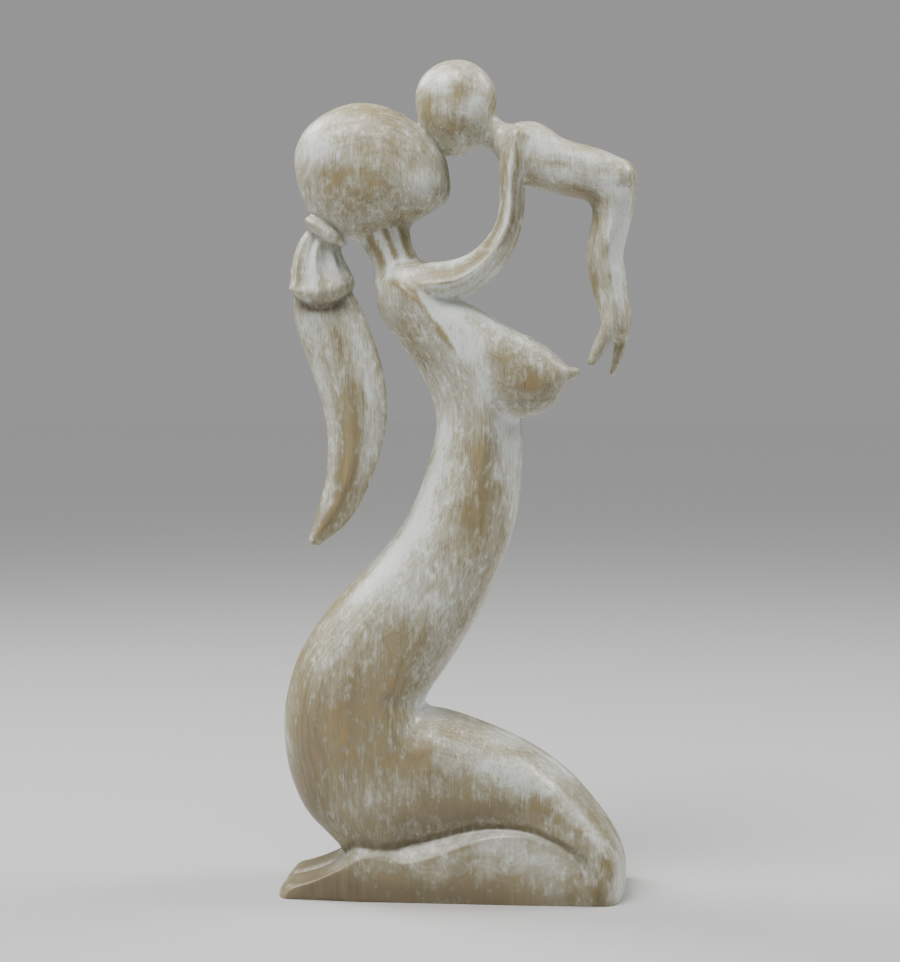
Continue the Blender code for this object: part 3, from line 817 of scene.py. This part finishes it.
def averaged(values, starts, ends, count, rounds):
    """Values spread over the skin, each round taking the mean of a point's neighbours."""
    links = np.bincount(starts, minlength=count) + np.bincount(ends, minlength=count)
    for _ in range(rounds):
        total = np.zeros_like(values)
        for k in range(values.shape[1]):
            total[:, k] = np.bincount(starts, values[ends, k], count)
            total[:, k] += np.bincount(ends, values[starts, k], count)
        values = 0.5 * values + 0.5 * total / np.maximum(links, 1)[:, None]
    return values


def edge_ends(mesh):
    """Numbers of the points at both ends of every edge."""
    pairs = np.empty(len(mesh.edges) * 2, np.int32)
    mesh.edges.foreach_get("vertices", pairs)
    return pairs.reshape(-1, 2).T


def bulge(mesh, rounds):
    """How far each point stands out from the averaged skin, in metres: above nought on a crest."""
    points = points_of(mesh)
    starts, ends = edge_ends(mesh)
    calm = averaged(points, starts, ends, len(points), rounds)
    return np.einsum("ij,ij->i", points - calm, normals_of(mesh))


def calmed(mesh, values):
    """The same values with their rough edges evened out."""
    starts, ends = edge_ends(mesh)
    return averaged(values[:, None], starts, ends, len(values), CALM_ROUNDS)[:, 0]


# How the sides, being nearer to the eye, shift back and down in the side view and grow
EYE_LINE = 248
SIDE_BACK = 3.5
SIDE_DOWN = 2.1
SIDE_GROWTH = 0.032


def side_view(points):
    """Places in the side view as a viewer stands to it, a little to the front and above."""
    share = np.abs(points[:, 1]) / (HIGH[1] - LOW[1]) * 2
    growth = 1 + SIDE_GROWTH * share
    x = (points[:, 0] / UNIT - SIDE_BACK * share) * growth
    z = EYE_LINE + (points[:, 2] / UNIT - EYE_LINE) * growth - SIDE_DOWN * share
    return x, z


def patches(points, table):
    """Sum of soft patches over the side view, strongest at each centre."""
    x, z = side_view(points)
    total = np.zeros(len(points))
    for centre_x, centre_z, wide, high, strength in table:
        away = ((x - centre_x) / wide) ** 2 + ((z - centre_z) / high) ** 2
        total += strength * np.exp(-away)
    return np.clip(total, 0, 1)


LANES = {
    "torso": TORSO, "thigh": THIGH, "neck": NECK, "near breast": BREAST, "far breast": BREAST,
    "near arm": ARM, "far arm": ARM, "child neck": CHILD_NECK, "child torso": CHILD_TORSO,
    "child legs": CHILD_LEGS, "near foot": NEAR_FOOT, "far foot": FAR_FOOT, "blade": BLADE,
    "tuft": HAIR_TUFT, "band": HAIR_BAND,
    "calves": [(x, 0, edge / 2, edge / 2 + rise + 3) for x, edge, rise, _ in CALVES],
}
EGGS = {"mother head": MOTHER_HEAD, "child head": CHILD_HEAD}

# Limbs with broader strokes, how fine those are, and how strokes spread round the sides of a head
BROAD_STROKES = ("thigh", "calves")
BROAD_FINENESS = 0.45
HEAD_SPREAD = 0.4

# How much less the upright grain shows on the lower legs, which are brushed along
LEG_CALM = 0.75

# Crests and forms: rounds of averaging they are measured against, and the height that counts full
CREST_ROUNDS = 10
CREST_HEIGHT = 0.00013
FORM_ROUNDS = 160
FORM_HEIGHT = 0.0015

# Rounds that even out rough edges, and how dark the painted shade in the creases is
CALM_ROUNDS = 6
CREASE_SHADE_STRENGTH = 0.8


class Lie:
    """How each point lies on its own limb: along it, across it, and across as a share of its width."""

    def __init__(self, points, names, gaps):
        self.names = names
        self.nearest = np.argmin(gaps, axis=0)
        self.along, self.across, self.share = np.zeros((3, len(points)))
        for row, name in enumerate(names):
            own = self.nearest == row
            if name not in LANES or not own.any():
                continue
            rows = spline([station[:4] for station in LANES[name]], 2 * RING_STEP) * UNIT
            line, widths = rows[:, [0, 2]], np.maximum(rows[:, 3], 2 * UNIT)
            ahead = np.gradient(line, axis=0)
            ahead /= np.linalg.norm(ahead, axis=1)[:, None]
            steps = np.linalg.norm(np.diff(line, axis=0, prepend=line[:1]), axis=1)
            flat = points[own][:, [0, 2]]
            spot = np.argmin(np.linalg.norm(flat[:, None] - line[None], axis=2), axis=1)
            offset = flat - line[spot]
            self.along[own] = np.cumsum(steps)[spot] + np.einsum("ij,ij->i", offset, ahead[spot])
            self.across[own] = offset[:, 1] * ahead[spot, 0] - offset[:, 0] * ahead[spot, 1]
            self.share[own] = self.across[own] / widths[spot]


# How far a stripe fades in beyond its ends, and how far inside them
FADE_OUTSIDE = 6
FADE_INSIDE = 10


def stripes(lie):
    """How much wood, or below nought how much wash and painted highlight, the stripes along the limbs
    show.
    """
    total = np.zeros(len(lie.along))
    along = lie.along / UNIT
    plain_names = [name.removeprefix("near ").removeprefix("far ") for name in lie.names]
    for limb_name, start, end, middle, half, strength in STRIPES:
        rows = [row for row, name in enumerate(plain_names) if name == limb_name]
        ends = fade(along, start - FADE_OUTSIDE, start + FADE_INSIDE)
        ends = ends * fade(along, end + FADE_OUTSIDE, end - FADE_INSIDE)
        side = np.exp(-(((lie.share - middle) / half) ** 2))
        total += np.where(np.isin(lie.nearest, rows), strength * ends * side, 0)
    return total


def brush_run(points, lie, sizes):
    """Where each point lies in the brush strokes, which follow the limbs and circle the heads."""
    long, wide = sizes.stroke_length, sizes.stroke_width
    run = np.column_stack([lie.along / long, lie.across / wide, points[:, 1] / wide])
    for name in BROAD_STROKES:
        run[lie.nearest == lie.names.index(name)] *= (1.0, BROAD_FINENESS, BROAD_FINENESS)
    for name, outline in EGGS.items():
        own = lie.nearest == lie.names.index(name)
        flat, deep = points[own][:, [0, 2]], points[own, 1]
        low, high = np.min(outline, axis=0), np.max(outline, axis=0)
        centre = np.array([(low[0] + high[0]) / 2, low[1]]) * UNIT
        radius = np.linalg.norm(flat - centre, axis=1) - HEAD_SPREAD * np.abs(deep)
        run[own] = np.column_stack([flat / long, radius / wide])
    return run


class Surface:
    """What the finish needs to know of the fine skin, looked up from the thinned one."""

    def __init__(self, obj, names, gaps, sizes):
        points = points_of(obj.data)
        self.tree = KDTree(len(points))
        for number, point in enumerate(points):
            self.tree.insert(point, number)
        self.tree.balance()
        lie = Lie(points, names, gaps)
        self.run = brush_run(points, lie, sizes)
        lines = stripes(lie)
        creases = calmed(obj.data, crease_shade(names, gaps) * (1 - patches(points, KNEE_RUN)))
        legs = (lie.nearest == names.index("calves")).astype(float)
        crest = calmed(obj.data, bulge(obj.data, CREST_ROUNDS))
        self.values = {
            "upright": 1 - LEG_CALM * calmed(obj.data, legs),
            # Rubbed patches and brown stripes, some broad patches low on the body painted shade
            "rubbed": np.clip(patches(points, RUBBED_AND_SHADED_PATCHES) + np.maximum(lines, 0), 0, 1),
            # Thick wash patches and white stripes, a few of them painted highlight and painted light
            "wash_and_highlight": np.clip(patches(points, WASH_AND_HIGHLIGHT_PATCHES) - np.minimum(lines, 0), 0, 1),
            # Stain patches and the creases beside crisp lines, mostly painted shade
            "stain_and_shade": np.clip(patches(points, STAIN_AND_SHADE_PATCHES) + CREASE_SHADE_STRENGTH * creases, 0, 1),
            "crest": np.clip(crest / CREST_HEIGHT, -1, 1),
            "form": np.clip(bulge(obj.data, FORM_ROUNDS) / FORM_HEIGHT, -1, 1),
        }

    def write(self, mesh):
        """Gives the thinned mesh the values of the nearest points of the fine skin."""
        nearest = np.array([self.tree.find(point)[1] for point in points_of(mesh)])
        for name, values in self.values.items():
            layer = mesh.attributes.new(name, "FLOAT", "POINT")
            layer.data.foreach_set("value", values[nearest].astype(np.float32))
        layer = mesh.attributes.new("run", "FLOAT_VECTOR", "POINT")
        layer.data.foreach_set("vector", self.run[nearest].astype(np.float32).ravel())


def new_group(name, inputs, outputs):
    group = bpy.data.node_groups.new(name, "ShaderNodeTree")
    for way, sockets in (("INPUT", inputs), ("OUTPUT", outputs)):
        for label, kind in sockets:
            group.interface.new_socket(label, in_out=way, socket_type=kind)
    return group, group.nodes.new("NodeGroupInput"), group.nodes.new("NodeGroupOutput")


class Net:
    """Short ways to add nodes to one tree."""

    def __init__(self, tree):
        self.tree = tree

    def link(self, value, socket):
        if isinstance(value, bpy.types.NodeSocket):
            self.tree.links.new(value, socket)
        else:
            socket.default_value = value

    def math(self, operation, a, b=None, c=None):
        node = self.tree.nodes.new("ShaderNodeMath")
        node.operation = operation
        for value, socket in zip((a, b, c), node.inputs):
            if value is not None:
                self.link(value, socket)
        return node.outputs[0]

    def ramp(self, value, low, high, start=0.0, end=1.0):
        node = self.tree.nodes.new("ShaderNodeMapRange")
        node.interpolation_type = "SMOOTHSTEP"
        for item, socket in zip((value, low, high, start, end), node.inputs):
            self.link(item, socket)
        return node.outputs[0]

    def mix(self, share, a, b):
        node = self.tree.nodes.new("ShaderNodeMix")
        node.data_type = "RGBA"
        colours = [s for s in node.inputs if s.type == "RGBA"]
        self.link(share, node.inputs[0])
        self.link(a, colours[0])
        self.link(b, colours[1])
        return next(s for s in node.outputs if s.type == "RGBA")

    def noise(self, coords, stretch, detail, rough):
        mapping = self.tree.nodes.new("ShaderNodeMapping")
        mapping.inputs["Scale"].default_value = stretch
        self.link(coords, mapping.inputs["Vector"])
        node = self.tree.nodes.new("ShaderNodeTexNoise")
        node.inputs["Scale"].default_value = 1
        node.inputs["Detail"].default_value = detail
        node.inputs["Roughness"].default_value = rough
        self.link(mapping.outputs[0], node.inputs["Vector"])
        return node.outputs["Fac"]

    def attribute(self, name, output="Fac"):
        node = self.tree.nodes.new("ShaderNodeAttribute")
        node.attribute_name = name
        return node.outputs[output]


# Masks that follow the wood: name, how many to the metre each way, detail and roughness
GRAIN_MASKS = (
    ("Grain", (1000, 1000, 55), 3, 0.6), ("Streak", (330, 330, 22), 4, 0.6),
    ("Cloud", (75, 75, 42), 4, 0.6), ("Fleck", (260, 260, 130), 3, 0.6),
    ("Pores", (1300, 1300, 110), 2, 0.5),
)

# Where flecks fade in, how close the growth layers lie in depth, and how far they wander
FLECK_EDGE = (0.5, 0.68)
LAYERS_IN_DEPTH = 2200
LAYERS_WANDER = 16


def grain_group():
    """Upright grain, growth layers and soft clouds, as masks that follow the wood."""
    group, ins, outs = new_group(
        "Wood grain",
        [("Position", "NodeSocketVector")],
        [(name, "NodeSocketFloat") for name, *_ in GRAIN_MASKS] + [("Layers", "NodeSocketFloat")],
    )
    net = Net(group)
    place = ins.outputs["Position"]
    for name, stretch, detail, rough in GRAIN_MASKS:
        mask = net.noise(place, stretch, detail, rough)
        net.link(net.ramp(mask, *FLECK_EDGE) if name == "Fleck" else mask, outs.inputs[name])
    depth = group.nodes.new("ShaderNodeSeparateXYZ")
    net.link(place, depth.inputs[0])
    wander = net.math("MULTIPLY", net.noise(place, (30, 30, 12), 2, 0.5), LAYERS_WANDER)
    turn = net.math("MULTIPLY_ADD", depth.outputs["Y"], LAYERS_IN_DEPTH, wander)
    net.link(net.math("MULTIPLY_ADD", net.math("SINE", turn), 0.5, 0.5), outs.inputs["Layers"])
    return group


# Brush strokes: how far they sway, how often to the metre, and how fine they are along and across
SWAY = (1, 7, 7)
SWAYS = 28
BROAD_GRAIN = (1, 0.8, 0.8)
FINE_GRAIN = (2.5, 3, 3)


def brush_group():
    """Brush strokes, broad and fine, that follow the limbs."""
    group, ins, outs = new_group(
        "Brush strokes",
        [("Run", "NodeSocketVector"), ("Position", "NodeSocketVector")],
        [("Broad", "NodeSocketFloat"), ("Fine", "NodeSocketFloat")],
    )
    net = Net(group)
    wander = group.nodes.new("ShaderNodeTexNoise")
    wander.inputs["Scale"].default_value = SWAYS
    wander.inputs["Detail"].default_value = 2
    net.link(ins.outputs["Position"], wander.inputs["Vector"])
    sway = group.nodes.new("ShaderNodeVectorMath")
    sway.operation = "MULTIPLY_ADD"
    sway.inputs[1].default_value = SWAY
    net.link(wander.outputs["Color"], sway.inputs[0])
    net.link(ins.outputs["Run"], sway.inputs[2])
    run = sway.outputs[0]
    net.link(net.noise(run, BROAD_GRAIN, 3, 0.55), outs.inputs["Broad"])
    net.link(net.noise(run, FINE_GRAIN, 3, 0.6), outs.inputs["Fine"])
    return group


# How bare the wood is: where nothing else acts, where the wash is thin, and where it is gone
BARENESS = 0.55
THIN = (0.02, 0.62)
BARE = (0.42, 1.05)

# Ranges that other masks are read over, some with the least and the most they give
WARM = (0.8, 1.2)
WARM_STREAKS = (0.46, 0.62, 0.05, 0.6)
SHADED_HOLLOWS = (-0.45, -1.0)
DARK_STREAKS = (0.3, 0.7, 0.6, 0.95)
PORES = (0.56, 0.70, 0.0, 0.34)
ROUGHNESS = (0, 1, 0.28, 0.4)

# How much dark wood the growth layers show, how much painted shade darkens the hollows, and how far the
# grain stands out
LAYERS_SHARE = 0.35
HOLLOW_SHADE_SHARE = 0.35
BUMP_STRENGTH = 0.3
BUMP_DISTANCE = 0.0003


def new_material(name):
    material = bpy.data.materials.new(name)
    material.use_nodes = True
    return material, material.node_tree.nodes["Principled BSDF"]


def limewash(colours):
    """Rubbed limewash over light wood, with painted shade in the hollows, creases and undersides and a
    few painted highlights.
    """
    material, shader = new_material("limewashed_wood")
    tree = material.node_tree
    net = Net(tree)
    coords = tree.nodes.new("ShaderNodeTexCoord").outputs["Object"]
    wood = tree.nodes.new("ShaderNodeGroup")
    wood.node_tree = grain_group()
    tree.links.new(coords, wood.inputs["Position"])
    strokes = tree.nodes.new("ShaderNodeGroup")
    strokes.node_tree = brush_group()
    tree.links.new(net.attribute("run", "Vector"), strokes.inputs["Run"])
    tree.links.new(coords, strokes.inputs["Position"])
    grain, streak = wood.outputs["Grain"], wood.outputs["Streak"]
    cloud, layers = wood.outputs["Cloud"], wood.outputs["Layers"]
    broad, fine = strokes.outputs["Broad"], strokes.outputs["Fine"]
    rubbed, wash_and_highlight = net.attribute("rubbed"), net.attribute("wash_and_highlight")
    crest, form = net.attribute("crest"), net.attribute("form")
    stain_and_shade, upright = net.attribute("stain_and_shade"), net.attribute("upright")

    # Each mask, the value at which it does nothing, and how much wood it bares. The last three are
    # the strokes and the grain that the wash lies in, so it thins out line by line.
    tooth = BARENESS
    for mask, middle, share in (
        (rubbed, 0, 0.5), (wash_and_highlight, 0, -0.55), (cloud, 0.5, 0.8),
        (broad, 0.5, net.math("MULTIPLY_ADD", upright, -0.45, 1.0)),
        (streak, 0.5, net.math("MULTIPLY", upright, 0.3)),
        (form, 0, 0.06), (crest, 0, 0.05), (stain_and_shade, 0, 0.35),
        (grain, 0.5, net.math("MULTIPLY", upright, 0.8)), (fine, 0.5, 0.5),
        (wood.outputs["Fleck"], 0, -0.3),
    ):
        tooth = net.math("MULTIPLY_ADD", net.math("SUBTRACT", mask, middle), share, tooth)
    thin, bare = net.ramp(tooth, *THIN), net.ramp(tooth, *BARE)
    dark_wood_and_shade = tuple(colours.dark_wood_and_shade)
    timber = net.mix(net.math("MULTIPLY", layers, LAYERS_SHARE), tuple(colours.bare_wood), dark_wood_and_shade)
    warm = net.math("MULTIPLY", net.ramp(tooth, *WARM), net.ramp(streak, *WARM_STREAKS))
    timber = net.mix(warm, timber, tuple(colours.ochre))
    colour = net.mix(thin, tuple(colours.wash), tuple(colours.thin_wash))
    colour = net.mix(bare, colour, timber)
    # Painted shade: the deepest hollows are darkened towards dark wood
    hollow = net.math("MULTIPLY", net.ramp(crest, *SHADED_HOLLOWS), HOLLOW_SHADE_SHARE)
    # Painted shade and old stain: the stain and shade mask darkens towards dark wood along the streaks
    dark = net.math("MULTIPLY", stain_and_shade, net.ramp(streak, *DARK_STREAKS))
    colour = net.mix(net.math("MAXIMUM", hollow, dark), colour, dark_wood_and_shade)
    pores = net.ramp(wood.outputs["Pores"], *PORES)
    colour = net.mix(net.math("MULTIPLY", pores, upright), colour, dark_wood_and_shade)
    tree.links.new(colour, shader.inputs["Base Color"])

    tree.links.new(net.ramp(tooth, *ROUGHNESS), shader.inputs["Roughness"])
    height = net.math("MULTIPLY_ADD", grain, 0.5, net.math("MULTIPLY", fine, 0.5))
    height = net.math("MULTIPLY_ADD", thin, -0.3, height)
    bump = tree.nodes.new("ShaderNodeBump")
    bump.inputs["Strength"].default_value = BUMP_STRENGTH
    bump.inputs["Distance"].default_value = BUMP_DISTANCE
    tree.links.new(height, bump.inputs["Height"])
    tree.links.new(bump.outputs[0], shader.inputs["Normal"])
    return material


def plain(name, colour, roughness):
    material, shader = new_material(name)
    shader.inputs["Base Color"].default_value = colour
    shader.inputs["Roughness"].default_value = roughness
    return material


class CARVING_OT_figure(bpy.types.Operator):
    """Carve the mother and child and limewash them"""

    bl_idname = "carving.figure"
    bl_label = "Carve the figure"

    def execute(self, context):
        sizes, colours = context.scene.carving_sizes, context.scene.carving_colours
        bodies = limbs(sizes)
        figure = fuse(bodies, sizes)
        figure.name = "carved_mother_and_child"
        names = list(bodies)
        points = points_of(figure.data)
        gaps = gaps_to(bodies, points)
        joins = np.clip(2 * (1 - np.sort(gaps, axis=0)[1] / sizes.join_softness), 0, 1)
        blends = blend_weights(names, gaps) * (1 - patches(points, WAIST_NOTCH))
        blends = np.maximum(blends, patches(points, KNEE_RUN))
        legs = (np.argmin(gaps, axis=0) == names.index("calves")).astype(float)
        soften(figure, np.ones(len(joins)), WHOLE_PASSES, "whole")
        soften(figure, joins, JOIN_PASSES, "joins")
        soften(figure, legs, LEG_PASSES, "legs")
        apply_modifiers(figure)
        fill_corners(figure, blends, CORNER_PASSES)
        soften(figure, blends, BLEND_PASSES, "blends")
        apply_modifiers(figure)
        carve_seam(figure, sizes)
        carve_notch(figure, sizes)
        roughen(figure, sizes)
        surface = Surface(figure, names, gaps, sizes)
        thin_out(figure, sizes.triangles)
        surface.write(figure.data)
        plane_underside(figure)
        figure.data.shade_smooth()
        figure.data.materials.append(limewash(colours))
        for body in bodies.values():
            body.free()
        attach(figure, "root")
        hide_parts(NODE)
        return {"FINISHED"}


class CARVING_OT_stage(bpy.types.Operator):
    """Set the floor, the lights and the camera"""

    bl_idname = "carving.stage"
    bl_label = "Set the stage"

    def execute(self, context):
        colours = context.scene.carving_colours
        bm = bmesh.new()
        bmesh.ops.create_circle(bm, cap_ends=True, radius=FLOOR_RADIUS, segments=96)
        mesh = bpy.data.meshes.new("floor")
        bm.to_mesh(mesh)
        bm.free()
        floor = bpy.data.objects.new("floor", mesh)
        mesh.materials.append(plain("pale floor", tuple(colours.floor), FLOOR_ROUGHNESS))
        context.scene.collection.objects.link(floor)
        add_lights(context.scene)
        add_camera(context.scene)
        return {"FINISHED"}


# Camera: its angles, its distance from the point it looks at, that point, and its lens
CAMERA_AZIMUTH = 5.0
CAMERA_ELEVATION = 3.0
CAMERA_DISTANCE = 1.23776
CAMERA_TARGET = (-0.0048, 0.0, 0.24826)
CAMERA_LENS = 76.72
CAMERA_SENSOR = 36


def around(azimuth, elevation):
    """Direction from the figure towards a place round it, in degrees."""
    a, e = math.radians(azimuth), math.radians(elevation)
    return Vector((math.sin(a) * math.cos(e), -math.cos(a) * math.cos(e), math.sin(e)))


def add_camera(scene):
    lens = bpy.data.cameras.new("camera")
    lens.sensor_width = CAMERA_SENSOR
    lens.lens = CAMERA_LENS
    camera = bpy.data.objects.new("camera", lens)
    back = around(CAMERA_AZIMUTH, CAMERA_ELEVATION)
    right = Vector((0, 0, 1)).cross(back).normalized()
    camera.matrix_world = (
        Matrix.Translation(Vector(CAMERA_TARGET) + back * CAMERA_DISTANCE)
        @ Matrix((right, back.cross(right), back)).transposed().to_4x4()
    )
    scene.collection.objects.link(camera)
    scene.camera = camera


# Soft lamps: name, azimuth, elevation, distance, size, power
LAMPS = (
    ("left lamp", -112, 46, 1.5, 0.6, 22),
    ("right lamp", 106, 44, 1.6, 0.6, 20),
    ("near lamp", -25, 66, 0.95, 0.5, 7),
)
SUN_AZIMUTH = -38
SUN_ELEVATION = 57
SUN_STRENGTH = 2.1
SUN_SOFTNESS = 32
SUN_DISTANCE = 3
LAMP_TARGET = Vector((0, 0, 0.25))

# The room round the figure: its tint, how much it lights, how bright it is seen, and its floor
ROOM_TINT = (1.0, 0.992, 1.0, 1)
ROOM_LIGHT = 0.116
ROOM_SEEN = 0.333
FLOOR_RADIUS = 12
FLOOR_ROUGHNESS = 0.8


def add_lamp(scene, lamp, way, distance):
    """Hangs a light out along a direction from the figure, shining back at it."""
    obj = bpy.data.objects.new(lamp.name, lamp)
    obj.location = LAMP_TARGET + way * distance
    obj.rotation_euler = way.to_track_quat("Z", "Y").to_euler()
    scene.collection.objects.link(obj)


def add_lights(scene):
    sun = bpy.data.lights.new("window light", "SUN")
    sun.energy = SUN_STRENGTH
    sun.angle = math.radians(SUN_SOFTNESS)
    add_lamp(scene, sun, around(SUN_AZIMUTH, SUN_ELEVATION), SUN_DISTANCE)
    for name, azimuth, elevation, distance, size, power in LAMPS:
        lamp = bpy.data.lights.new(name, "AREA")
        lamp.size = size
        lamp.energy = power
        add_lamp(scene, lamp, around(azimuth, elevation), distance)
    add_room(scene)


def add_room(scene):
    """A dim room round the figure that looks as pale as the floor."""
    world = bpy.data.worlds.new("room")
    world.use_nodes = True
    net = Net(world.node_tree)
    room = world.node_tree.nodes["Background"]
    room.inputs["Color"].default_value = ROOM_TINT
    seen = world.node_tree.nodes.new("ShaderNodeLightPath").outputs["Is Camera Ray"]
    net.link(net.ramp(seen, 0, 1, ROOM_LIGHT, ROOM_SEEN), room.inputs["Strength"])
    scene.world = world


class CARVING_PT_panel(bpy.types.Panel):
    """Lists the steps and their settings"""

    bl_idname = "CARVING_PT_panel"
    bl_label = "Mother and child"
    bl_space_type = "VIEW_3D"
    bl_region_type = "UI"
    bl_category = "Carving"

    def draw(self, context):
        layout = self.layout
        for group in (context.scene.carving_sizes, context.scene.carving_colours):
            for name in group.__annotations__:
                layout.prop(group, name)
        layout.operator(CARVING_OT_figure.bl_idname)
        layout.operator(CARVING_OT_stage.bl_idname)


CLASSES = (CarvingSizes, CarvingColours, CARVING_OT_figure, CARVING_OT_stage, CARVING_PT_panel)


def register():
    for cls in CLASSES:
        bpy.utils.register_class(cls)
    bpy.types.Scene.carving_sizes = PointerProperty(type=CarvingSizes)
    bpy.types.Scene.carving_colours = PointerProperty(type=CarvingColours)


def unregister():
    del bpy.types.Scene.carving_colours
    del bpy.types.Scene.carving_sizes
    for cls in reversed(CLASSES):
        bpy.utils.unregister_class(cls)


def main():
    register()
    bpy.ops.carving.figure()
    bpy.ops.carving.stage()


if __name__ == "__main__":
    main()
